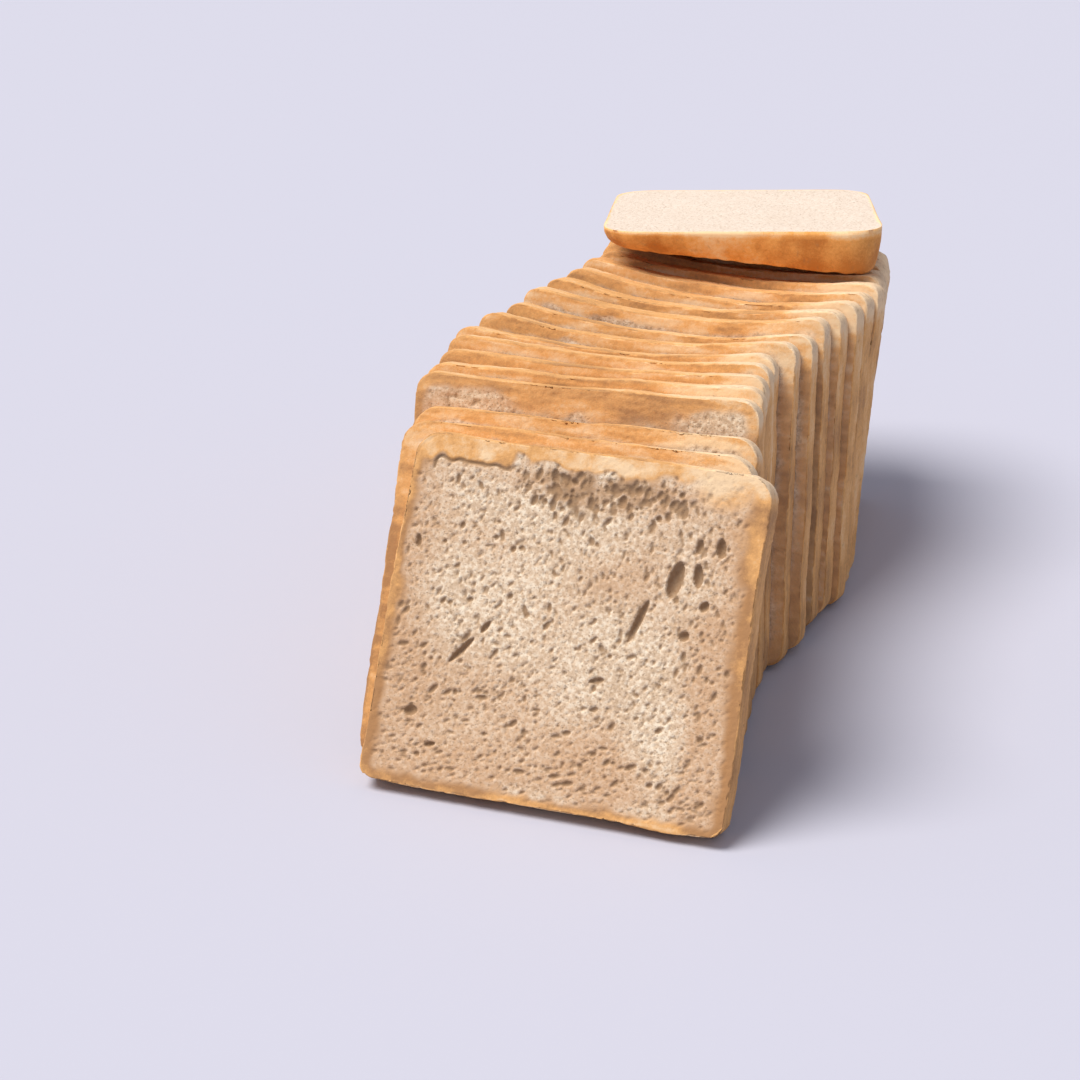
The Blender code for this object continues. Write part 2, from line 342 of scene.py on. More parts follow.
def smooth_curve(corners: Array) -> Array:
    """Runs a smooth closed curve through a coarse outline's points."""
    following = np.roll(corners, -1, axis=0)
    chords = np.linalg.norm(following - corners, axis=1)
    slopes = following - np.roll(corners, 1, axis=0)
    slopes /= (chords + np.roll(chords, 1))[:, None]
    slope = slopes[:, None] * chords[:, None, None]
    next_slope = np.roll(slopes, -1, axis=0)[:, None] * chords[:, None, None]
    t = np.linspace(0.0, 1.0, CURVE_STEPS, endpoint=False)[None, :, None]
    curve = corners[:, None] * (2 * t**3 - 3 * t**2 + 1) + slope * (t**3 - 2 * t**2 + t)
    curve = curve + following[:, None] * (3 * t**2 - 2 * t**3) + next_slope * (t**3 - t**2)
    return curve.reshape(-1, 2)


def smooth_loop(corners: Array, fractions_x: Array, fractions_z: Array) -> Loop:
    """Fits a smooth closed curve through a coarse outline and divides it.

    Args:
        corners: The coarse outline's points, in order.
        fractions_x: Where the lower and upper side are divided, from 0 to 1, left to right.
        fractions_z: Where the left and right side are divided, from 0 to 1, bottom to top.

    Returns:
        The divided outline.
    """
    curve = smooth_curve(corners)
    low, high = curve.min(axis=0), curve.max(axis=0)
    even = (curve - (low + high) / 2) / (high - low)
    starts = [int(np.argmax(even @ np.array(way))) for way in ((-1, -1), (1, -1), (1, 1), (-1, 1))]
    curve = np.roll(curve, -starts[0], axis=0)
    starts = [(start - starts[0]) % len(curve) for start in starts] + [len(curve)]
    curve = np.concatenate([curve, curve[:1]])
    divisions = (fractions_x, fractions_z, 1.0 - fractions_x[::-1], 1.0 - fractions_z[::-1])
    sides = []
    for first, last, fractions in zip(starts, starts[1:], divisions):
        side = curve[first:last + 1]
        lengths = lengths_along(side)
        wanted = fractions * lengths[-1]
        sides.append(np.stack([np.interp(wanted, lengths, side[:, axis]) for axis in (0, 1)], axis=1))
    return Loop(tuple(sides))


def distance_inside(places: Array, loop: Loop) -> Array:
    """Distance of places from an outline by every fourth of its points, in blocks to save memory."""
    start = loop.points[::4]
    run = np.roll(start, -1, axis=0) - start
    found = []
    for block in np.array_split(places, max(1, len(places) // 4000)):
        off = block[:, None] - start[None]
        share = np.clip((off * run).sum(axis=2) / (run**2).sum(axis=1), 0.0, 1.0)
        found.append(np.linalg.norm(off - share[..., None] * run, axis=2).min(axis=1))
    return np.concatenate(found)


def node_points(node: bpy.types.Object, turn: Matrix) -> Array:
    """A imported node's points in a turned space, in millimetres."""
    return np.array([v.co for v in node.data.vertices], dtype=float) @ np.array(turn) / MM


def outline_of(points: Array, edge_share: float) -> tuple[Array, Array]:
    """Puts the edge points of a flat face in order.

    Args:
        points: The face's points, some of them more than once.
        edge_share: How far out the edge begins, from 0 in the middle to 1 at the face's box.

    Returns:
        The edge's points, anticlockwise, and the place below the middle at their lowest level.
    """
    ring = np.unique(np.round(points, 3), axis=0)
    low, high = ring.min(axis=0), ring.max(axis=0)
    middle, half = (low + high) / 2, (high - low) / 2
    ring = ring[np.abs((ring - middle) / half).max(axis=1) > edge_share]
    ring = ring[np.argsort(np.arctan2(ring[:, 1] - middle[1], ring[:, 0] - middle[0]))]
    return ring, np.array([middle[0], ring[:, 1].min()])


@dataclass(frozen=True)
class Section:
    """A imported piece's flat outline in its own space, with the turn and origin of that space."""

    outline: Array
    turn: Matrix
    origin: Vector

    @classmethod
    def of_slice(cls, number: int, node: bpy.types.Object) -> "Section":
        """Reads the front outline off a packed slice.

        Args:
            number: The slice's number, which gives its turn.
            node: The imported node.

        Returns:
            The section, with its outline in millimetres and its origin in metres.
        """
        yaw = math.radians(float(np.interp(number, STATION_NUMBERS, STATION_YAWS)))
        lean = math.radians(float(np.interp(number, STATION_NUMBERS, STATION_LEANS)))
        turn = Matrix.Rotation(yaw, 3, "Z") @ Matrix.Rotation(-lean, 3, "X")
        own = node_points(node, turn)
        front = own[:, 1].min()
        ring, start = outline_of(own[own[:, 1] < front + FLAT_SLACK][:, (0, 2)], 0.85)
        if number == 1:
            start = (np.array(FRONT_ORIGIN) @ np.array(turn))[[0, 2]]
        return cls(ring - start, turn, turn @ (Vector((start[0], front, start[1])) * MM))

    def to_row(self) -> Matrix:
        """The piece's own space in the row frame."""
        return Matrix.Translation(self.origin) @ self.turn.to_4x4()


class BreadMesh:
    """Collects points, faces and the three maps that the bread's finish reads."""

    def __init__(self) -> None:
        """Starts empty."""
        self.points: list[Array] = []
        self.maps: list[Array] = []
        self.faces: list[Array] = []
        self.count = 0

    def add_points(self, points: Array, maps: Array) -> Array:
        """Adds points with their crust, pore and tone values, and returns their numbers."""
        self.points.append(points)
        self.maps.append(maps)
        self.count += len(points)
        return np.arange(self.count - len(points), self.count)

    def add_faces(self, a: Array, b: Array, c: Array, d: Array, flip: bool = False) -> None:
        """Adds four-sided faces from arrays of corner numbers, turned over if flip says so."""
        corners = [array.ravel() for array in (a, b, c, d)]
        self.faces.append(np.stack(corners[::-1] if flip else corners, axis=1))

    def add_rows(self, rows: list[Array]) -> Array:
        """Joins closed rows of points, each to the next, and returns their numbers as an array."""
        numbers = np.stack(rows)
        nearer, further = numbers[:-1], numbers[1:]
        self.add_faces(nearer, further, np.roll(further, -1, axis=1), np.roll(nearer, -1, axis=1))
        return numbers

    def add_grid(self, inner: Array, edge: Array, flip: bool) -> None:
        """Fills a face with a grid that meets the ring of points at its edge.

        Args:
            inner: Numbers of the grid's inner points, by row and column.
            edge: Numbers of the ring's points, anticlockwise from the lower left.
            flip: Whether the faces look the other way.
        """
        rows, columns = inner.shape[0] + 1, inner.shape[1] + 1
        numbers = np.zeros((rows + 1, columns + 1), dtype=int)
        numbers[1:-1, 1:-1] = inner
        corner = np.cumsum([0, columns, rows, columns])
        numbers[0, :] = edge[corner[0]:corner[1] + 1]
        numbers[:, -1] = edge[corner[1]:corner[2] + 1]
        numbers[-1, :] = edge[corner[2]:corner[3] + 1][::-1]
        numbers[:, 0] = np.append(edge[corner[3]:], edge[0])[::-1]
        self.add_faces(numbers[:-1, :-1], numbers[:-1, 1:], numbers[1:, 1:], numbers[1:, :-1], flip)

    def add_fan(self, ring: Array, tip: Place, values: Place, flip: bool) -> None:
        """Closes a ring with faces to a middle point, two ring steps to a face.

        Args:
            ring: Numbers of the ring's points.
            tip: The middle point.
            values: Its crust, pore and tone values.
            flip: Whether the faces look the other way.
        """
        first, second, third = ring[0::2], ring[1::2], np.roll(ring, -2)[0::2]
        tips = np.full(len(first), self.add_points(np.array([tip]), np.array([values]))[0])
        if flip:
            self.add_faces(third, second, first, tips)
        else:
            self.add_faces(first, second, third, tips)

    def build(self, name: str, to_row: Matrix) -> bpy.types.Object:
        """Makes the object.

        Args:
            name: The piece's name.
            to_row: Turn and place of the bread's own space in the row frame, in metres.

        Returns:
            A mesh object whose own origin is the row's, and which stays above the floor.
        """
        points = np.concatenate(self.points) * MM
        points = points @ np.array(to_row.to_3x3()).T + np.array(to_row.translation)
        points[:, 2] = np.maximum(points[:, 2], 0.0)
        data = bpy.data.meshes.new(name)
        data.from_pydata(points.tolist(), [], np.concatenate(self.faces).tolist())
        for column, title in enumerate(("crust", "pore", "tone")):
            layer = data.attributes.new(title, "FLOAT", "POINT")
            layer.data.foreach_set("value", np.concatenate(self.maps)[:, column].astype(np.float32))
        data.shade_smooth()
        piece = bpy.data.objects.new(name, data)
        bpy.context.scene.collection.objects.link(piece)
        return piece


class BreadPiece:
    """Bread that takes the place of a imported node; each kind has its name, node and slot."""

    name: str
    node: str
    slot: str

    def dress(self, mesh: BreadMesh, section: Section, finish: "BreadFinish") -> bpy.types.Object:
        """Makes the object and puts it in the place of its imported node.

        Args:
            mesh: The piece's mesh in its own space.
            section: Where that space lies.
            finish: The bread's finish.

        Returns:
            The dressed object.
        """
        piece = mesh.build(self.name, section.to_row())
        piece.data.materials.append(finish.material())
        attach(piece, "root")
        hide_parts(self.node)
        LOG.info("%s: %d faces", self.name, len(piece.data.polygons))
        return piece


@dataclass
class Texture:
    """The noise and pore maps that all slices share, each slice reading them at its own place."""

    grain: Field
    lumps: Field
    patches: Field
    streaks: Field
    pits: Field
    crumb: Field

    @classmethod
    def bake(cls) -> "Texture":
        """Works the maps out."""
        whole = (MAP_SIZE / 2, MAP_SIZE / 2)
        crumb = PoreMap(MAP_SIZE, MAP_PITCH)
        crumb.scatter(4200, whole, whole, radius=0.38, stretch=2.2, seed=11)
        crumb.scatter(90, whole, whole, radius=0.6, stretch=2.0, seed=12)
        pits = PoreMap(MAP_SIZE, MAP_PITCH)
        pits.scatter(2300, whole, whole, radius=0.36, stretch=2.0, seed=13)
        return cls(
            grain=noise_field(MAP_SIZE, MAP_PITCH, 0.35, 0.35, 21),
            lumps=noise_field(MAP_SIZE, MAP_PITCH, 1.6, 1.6, 22),
            patches=noise_field(MAP_SIZE, 2 * MAP_PITCH, 7.0, 7.0, 23),
            streaks=noise_field(MAP_SIZE, MAP_PITCH, 3.5, 0.8, 24),
            pits=pits.field(),
            crumb=crumb.field(),
        )


@dataclass(frozen=True)
class Spots:
    """Places on a crumb face: across, up, inside its edge, right of its middle, and its height."""

    x: Array
    z: Array
    inside: Array
    across: Array
    high: float

    @classmethod
    def on(cls, loop: Loop, places: Array, inside: Array) -> "Spots":
        """Places on the face that a loop encloses."""
        across = places[:, 0] - loop.middle[0]
        return cls(places[:, 0], places[:, 1], inside, across, loop.points[:, 1].max())

    def near_top(self, start: float, full: float) -> Array:
        """Rises from 0 at start below the face's top to 1 at full below it."""
        return smooth_step(self.high - start, self.high - full, self.z)


@dataclass(frozen=True)
class Oval:
    """An oval patch of a face: middle, half sides, and the shares of them where it starts and is full."""

    x: float
    z: float
    half_x: float
    half_z: float
    start: float
    full: float

    def share(self, x: Array, z: Array) -> Array:
        """Rises from 0 outside the patch to 1 within it."""
        reach = np.hypot((x - self.x) / self.half_x, (z - self.z) / self.half_z)
        return smooth_step(self.start, self.full, reach)


@dataclass(frozen=True)
class Surround:
    """A slice's outline as its crust band reads it: how far round, and how much of which side."""

    run: Array
    right: Array
    sides: Array
    top: Array
    low: Array

    @classmethod
    def of(cls, loop: Loop) -> "Surround":
        """Works it out for an outline."""
        points, middle = loop.points, loop.middle
        width, height = np.ptp(points, axis=0)
        across = (points[:, 0] - middle[0]) / (width / 2)
        return cls(
            run=lengths_along(points),
            right=smooth_step(0.3, 0.84, across),
            sides=smooth_step(0.9, 0.98, np.abs(across)),
            top=smooth_step(0.75, 0.95, (points[:, 1] - middle[1]) / (height / 2)),
            low=smooth_step(0.1, 0.0, (points[:, 1] - points[:, 1].min()) / height),
        )


@dataclass(frozen=True)
class Face:
    """One end of a slice: its edge, the numbers of the band's points there, and whether it is the back."""

    loop: Loop
    edge: Array
    back: bool


@dataclass
class Slice(BreadPiece):
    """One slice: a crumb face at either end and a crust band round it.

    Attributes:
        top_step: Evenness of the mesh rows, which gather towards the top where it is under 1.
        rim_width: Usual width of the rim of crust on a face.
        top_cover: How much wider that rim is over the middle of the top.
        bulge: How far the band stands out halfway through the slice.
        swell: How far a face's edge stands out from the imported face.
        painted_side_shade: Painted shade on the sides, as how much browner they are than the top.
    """

    number: int
    texture: Texture
    columns: int = 104
    rows: int = 96
    front: Cap = Cap.RIM
    back: Cap = Cap.FAN
    top_step: float = 1.0
    rim_width: float = 8.5
    top_cover: float = 0.0
    bulge: float = 0.16
    swell: float = 0.17
    painted_side_shade: float = 0.2
    face_tone: float = 0.5
    face_crust: float = 1.0
    slot: str = "bread_slice"

    @property
    def name(self) -> str:
        """The piece's name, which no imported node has."""
        return f"bread_slice_{self.number:02d}"

    @property
    def node(self) -> str:
        """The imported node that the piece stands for."""
        return f"slice_{self.number:02d}"

    def shift(self) -> tuple[float, float]:
        """Where this slice reads the shared maps."""
        return MAP_STEP[0] * self.number, MAP_STEP[1] * self.number

    def fractions(self) -> tuple[Array, Array]:
        """How the sides are divided: evenly across, and by top_step upwards."""
        x = np.linspace(0.0, 1.0, self.columns + 1)
        z = np.linspace(0.0, 1.0, self.rows + 1)
        return x, 1.0 - (1.0 - z) ** (1.0 / self.top_step) if self.top_step < 1.0 else z

    def profile(self) -> Array:
        """Inset and depth of the crust band's rows, from the front face's edge to the back's."""
        edge = [(inset, y - self.swell) for inset, y in ROUNDED_EDGE] + [(0.0, EDGE_END)]
        even = [(0.0, y) for y in np.linspace(EVEN_START, THICKNESS - EVEN_START, EVEN_ROWS)]
        return np.array(edge + even + [(inset, THICKNESS - y) for inset, y in reversed(edge)])

    def rim(self, spots: Spots, off_x: float, off_z: float) -> Array:
        """Width of the ragged rim of crust.

        Args:
            spots: Places on the face.
            off_x: Where the face reads the maps, across.
            off_z: The same, up.

        Returns:
            The width at each place.
        """
        maps = self.texture
        ragged = 0.85 + 0.1 * maps.lumps.at(spots.x + off_x, spots.z + off_z)
        ragged = ragged + 0.14 * maps.patches.at(spots.x + off_z, spots.z)
        off_middle = np.abs(spots.across - 2.0)
        cover = smooth_step(38.0, 20.0, off_middle) - 0.3 * smooth_step(24.0, 34.0, off_middle)
        return self.rim_width * ragged * (1.0 + self.top_cover * cover)

    def relief(self, spots: Spots, back: bool) -> tuple[Array, Array]:
        """Shapes a crumb face.

        Args:
            spots: Places on the face.
            back: Whether this is the back face.

        Returns:
            Depth below the flat face, and the crust, pore and tone values, one row a point.
        """
        x, z, inside, across = spots.x, spots.z, spots.inside, spots.across
        off_x, off_z = self.shift()
        if back:
            off_x += 19.0
        maps = self.texture
        top = spots.near_top(16.0, 6.0)
        crust = smooth_step(1.2, 0.35, inside / np.maximum(self.rim(spots, off_x, off_z), LEAST_RIM))
        crust = self.face_crust * crust * (1.0 - 0.4 * smooth_step(42.0, 52.0, across) * (1.0 - top))
        depth = maps.crumb.at(x + off_x, z + off_z) * (1.0 - 0.9 * smooth_step(0.1, 0.7, crust))
        dish = DISH_DEPTH * smooth_step(0.0, DISH_REACH, inside)
        fine = 0.05 * maps.grain.at(x + off_z, z + off_x) * smooth_step(0.0, 1.5, inside)
        streaks = maps.streaks.at(x + off_x, 1.3 * z + off_z)
        tone = self.face_tone + 0.1 * maps.patches.at(x + off_x, z) + 0.1 * streaks
        # Paler at the top right of the face, partly pale crust and partly a painted highlight
        tone = tone - 0.06 * smooth_step(0.0, 5.0, inside) - 0.3 * smooth_step(22.0, 48.0, across) * top
        # Painted shade: the face's strips by its sides are browned to match the shaded sides
        tone = tone + 0.8 * self.painted_side_shade * smooth_step(46.0, 53.0, np.abs(across)) * (1.0 - top)
        # The pore value is painted shade in the pores, by their depth
        values = np.stack([crust, np.clip(depth, 0.0, 1.0), np.clip(tone, 0.0, 1.0)], axis=1)
        return dish + depth + np.maximum(fine, -0.06), values

    def band_row(self, loop: Loop, round_it: Surround, inset: float, y: float) -> tuple[Array, Array]:
        """Shapes one row of the crust band, uneven and pitted, with crumbs at the cut edges.

        Args:
            loop: The slice's outline.
            round_it: The same as the band reads it.
            inset: How far inside the outline the row lies.
            y: How deep into the slice.

        Returns:
            The row's points, and their crust, pore and tone values.
        """
        run, right, top = round_it.run, round_it.right, round_it.top
        off_x, off_z = self.shift()
        maps = self.texture
        calm = float(np.clip(min(y, THICKNESS - y) / 1.2, 0.25, 1.0))
        cut = 1.0 - calm
        ripple = maps.streaks.along(run + off_x, y + off_z)
        lumps = maps.lumps.along(run + off_z, y + off_x)
        pits = maps.pits.along(run + off_x, y + off_z)
        crumbs = np.clip(maps.lumps.along(2.6 * run + off_x, 9.0 * y + off_z), -0.2, 2.0)
        notches = np.clip(maps.lumps.along(2.1 * run + off_z, off_x), 0.0, 1.5)
        sway = 0.22 * maps.patches.along(1.1 * run + off_x, off_z) - 0.1
        bulge = self.bulge * math.sqrt(max(0.0, 1.0 - (2.0 * y / THICKNESS - 1.0) ** 2))
        uneven = 0.05 * ripple + 0.08 * lumps - 0.7 * pits
        out = bulge - inset + sway + calm * uneven - cut * (0.3 * crumbs)
        place = loop.points + out[:, None] * loop.outward()
        inward = cut * 0.3 * notches
        level = y + inward if y < THICKNESS / 2 else y - inward
        patch = maps.patches.along(run + off_z, y)
        tone = 0.44 + 0.1 * patch + 0.04 * ripple + 0.03 * math.sin(2.4 * self.number)
        # Painted shade: the sides browner than the top; the top paler at the right, partly pale crust and
        # partly a painted highlight
        tone += self.painted_side_shade * round_it.sides * (1.0 - top) - 0.5 * right * top - 0.1 * round_it.low
        # Painted shade along the top's cut edges, where the slices meet, damping the light their rounded
        # edges catch
        tone += 0.22 * cut * top * (1.0 - right)
        # Painted shade in the crust's pits
        pore = np.clip(pits / 0.6, 0.0, 1.0) * calm * 0.8
        # Less crust at the top right, so paler: partly pale crust and partly a painted highlight
        crust = 1.0 - 0.12 * np.clip(lumps, 0.0, 1.0) - 0.42 * right * top
        points = np.stack([place[:, 0], level, place[:, 1]], axis=1)
        return points, np.stack([crust, pore, np.clip(tone, 0.0, 1.0)], axis=1)

    def on_face(self, places: Array, depth: Array, back: bool) -> Array:
        """Points at these depths below a face, which itself stands out by the swell."""
        level = depth - self.swell
        return np.stack([places[:, 0], THICKNESS - level if back else level, places[:, 1]], axis=1)

    def grid_cap(self, mesh: BreadMesh, face: Face) -> None:
        """Fills a face with an even grid."""
        places = face.loop.grid(*self.fractions())
        inside = distance_inside(places, face.loop)
        depth, values = self.relief(Spots.on(face.loop, places, inside), face.back)
        points = self.on_face(places, depth * smooth_step(0.0, 0.8, inside), face.back)
        mesh.add_grid(mesh.add_points(points, values).reshape(self.rows - 1, -1), face.edge, face.back)

    def ring_cap(self, mesh: BreadMesh, face: Face, insets: tuple[float, ...]) -> None:
        """Fills a face with rings that shrink towards its middle.

        Args:
            mesh: The mesh to add to.
            face: The face.
            insets: The rings' distances from the edge.
        """
        points, middle = face.loop.points, face.loop.middle
        reach = np.ptp(points[:, 0]) / 2
        outer = face.edge
        for inset in insets:
            ring = middle + (points - middle) * (1.0 - inset / reach)
            depth, values = self.relief(Spots.on(face.loop, ring, np.full(len(ring), inset)), face.back)
            inner = mesh.add_points(self.on_face(ring, depth, face.back), values)
            mesh.add_faces(outer, np.roll(outer, -1), np.roll(inner, -1), inner, face.back)
            outer = inner
        level = THICKNESS - TIP_DEPTH if face.back else TIP_DEPTH
        mesh.add_fan(outer, (middle[0], level, middle[1]), (0.0, 0.0, 0.4), face.back)

    def build(self, frame: dict, finish: "BreadFinish") -> bpy.types.Object:
        """Makes the slice.

        Args:
            finish: The bread's finish.

        Returns:
            The slice's object.
        """
        section = Section.of_slice(self.number, frame["nodes"][self.node])
        loop = smooth_loop(section.outline, *self.fractions())
        round_it = Surround.of(loop)
        mesh = BreadMesh()
        profile = self.profile()
        rows = [mesh.add_points(*self.band_row(loop, round_it, inset, y)) for inset, y in profile]
        numbers = mesh.add_rows(rows)
        edge_loop = loop.inset(profile[0][0])
        for cap, edge, back in ((self.front, numbers[0], False), (self.back, numbers[-1], True)):
            face = Face(edge_loop, edge, back)
            if cap is Cap.GRID:
                self.grid_cap(mesh, face)
            else:
                self.ring_cap(mesh, face, RING_INSETS[cap])
        return self.dress(mesh, section, finish)


@dataclass
class FrontSlice(Slice):
    """The slice whose whole face shows, with its own bubbles, coarse band and pale corner, the corner partly
    pale crust and partly a painted highlight.

    Attributes:
        corner: The pale corner at the upper right, pale crust with a painted highlight, its z from the
            face's top.
        hollow: The shallow hollow under the top.
        coarse: The band of coarse crumb in it, darkened with painted shade under the crust's lip.
        groove_inset: How far inside the edge the groove at the upper left runs.
    """

    columns: int = 268
    rows: int = 258
    front: Cap = Cap.GRID
    rim_width: float = 5.6
    corner: Oval = Oval(47.0, -5.0, 13.0, 9.5, start=1.3, full=0.35)
    hollow: Oval = Oval(8.0, 100.5, 30.0, 7.0, start=0.9, full=0.2)
    coarse: Oval = Oval(9.0, 100.5, 31.0, 7.5, start=1.15, full=0.4)
    groove_inset: float = 7.4

    def own_pores(self) -> Field:
        """Pores of this face, on a map of its own that doesn't wrap."""
        pores = PoreMap(FRONT_MAP_SIZE, FRONT_MAP_PITCH)
        for patch in FRONT_PORES:
            pores.scatter(*patch)
        for across, up, *shape in FRONT_BUBBLES:
            pores.sink(across + FRONT_SKEW * up + FRONT_MAP_SHIFT, up, *shape)
        return pores.field()

    def crust(self, spots: Spots) -> Array:
        """How much of each place is crust: the rim, thick and golden along the top, and the pale corner of
        crust and painted highlight.
        """
        x, z, maps = spots.x, spots.z, self.texture
        right = smooth_step(36.0, 52.0, x)
        upper = spots.near_top(16.0, 6.0) * smooth_step(46.0, 10.0, x)
        ragged = 0.82 + 0.15 * maps.lumps.at(x, z) + 0.12 * maps.patches.at(x + 9.0, z + 30.0)
        rim = self.rim_width * ragged * (1.0 - 0.1 * smooth_step(10.0, 3.0, z))
        rim = rim * (1.0 + 0.45 * right * smooth_step(20.0, 60.0, z)) * (1.0 + 0.5 * upper)
        share = spots.inside / np.maximum(rim, LEAST_RIM)
        crust = smooth_step(1.35 - 0.15 * upper, 0.1 + 0.55 * upper, share)
        return np.maximum(crust, 0.7 * self.corner.share(x, z - spots.high))

    def groove(self, spots: Spots) -> Array:
        """How much of each place is in the groove below the rim at the upper left, sunk and darkened with
        painted shade.
        """
        x, z = spots.x, spots.z
        off_line = np.abs(spots.inside - self.groove_inset - 0.5 * self.texture.lumps.at(x, z))
        groove = smooth_step(1.0, 0.0, off_line) * spots.near_top(12.0, 9.0)
        return groove * smooth_step(-16.0, -26.0, x) * smooth_step(-51.0, -47.0, x)

    def tone(self, spots: Spots, crust: Array, coarse: Array) -> Array:
        """How warm the crumb is and how brown the crust.

        Args:
            spots: Places on the face.
            crust: How much of each is crust.
            coarse: How much of each is coarse crumb.

        Returns:
            The tone, from 0 to 1.
        """
        x, z, maps = spots.x, spots.z, self.texture
        right = smooth_step(36.0, 52.0, x)
        tone = 0.7 + 0.1 * maps.patches.at(x, z + 50.0) - 0.34 * spots.near_top(11.0, 4.0)
        # Browner low on the right rim; the corner paler, partly pale crust and partly a painted highlight
        tone = tone + 0.3 * right * smooth_step(80.0, 30.0, z) - 0.5 * self.corner.share(x, z - spots.high)
        tone = tone - 0.26 * smooth_step(8.0, 3.0, z)
        tone = tone - 0.32 * smooth_step(4.0, 26.0, spots.inside) * smooth_step(0.0, 55.0, z + 0.4 * x)
        tone = tone + 0.5 * coarse + 0.12 * smooth_step(42.0, 12.0, z)
        tone = tone + crust * (0.1 * maps.lumps.at(1.2 * x, 1.2 * z) + 0.8 * (1.0 - crust))
        return np.clip(tone, 0.0, 1.0)

    def relief(self, spots: Spots, back: bool) -> tuple[Array, Array]:
        """Shapes the front face from its own pores; the back is as any slice's.

        Args:
            spots: Places on the face.
            back: Whether this is the back face.

        Returns:
            Depth below the flat face, and the crust, pore and tone values, one row a point.
        """
        if back:
            return super().relief(spots, back)
        x, z, maps = spots.x, spots.z, self.texture
        crust, groove = self.crust(spots), self.groove(spots)
        pores = self.own_pores().at(x + FRONT_MAP_SHIFT, z) * (1.0 - 0.8 * smooth_step(0.35, 0.95, crust))
        depth = np.maximum(pores, 0.8 * groove)
        dish = DISH_DEPTH * smooth_step(0.0, DISH_REACH, spots.inside) + 0.25 * self.hollow.share(x, z)
        fine = 0.03 * maps.grain.at(x, z) * smooth_step(0.0, 1.5, spots.inside)
        lumpy = np.clip(0.6 + 0.35 * maps.lumps.at(1.3 * x, 1.3 * z), 0.0, 1.0)
        coarse = self.coarse.share(x, z) * lumpy * (1.0 - crust)
        # The pore map: painted shade in the pores by their depth, in the coarse band under the crust's lip
        # and in the groove
        pore = np.clip(depth / 0.75 + 0.72 * coarse + 0.7 * groove, 0.0, 1.0)
        values = np.stack([crust, pore, self.tone(spots, crust, coarse)], axis=1)
        return dish + depth + np.maximum(fine, -0.06), values


@dataclass
class NearSlice(Slice):
    """A slice close behind the front one, whose face shows along its top and right edge."""

    columns: int = 168
    rows: int = 98
    front: Cap = Cap.GRID
    top_step: float = 0.62
    # Deeper painted shade on the sides of the near slices
    painted_side_shade: float = 0.36


@dataclass
class LastSlice(Slice):
    """The slice at the far end, whose back face shows."""

    columns: int = 150
    rows: int = 144
    front: Cap = Cap.FAN
    back: Cap = Cap.GRID
    rim_width: float = 5.5
    # No painted shade on the far slice's sides
    painted_side_shade: float = 0.0


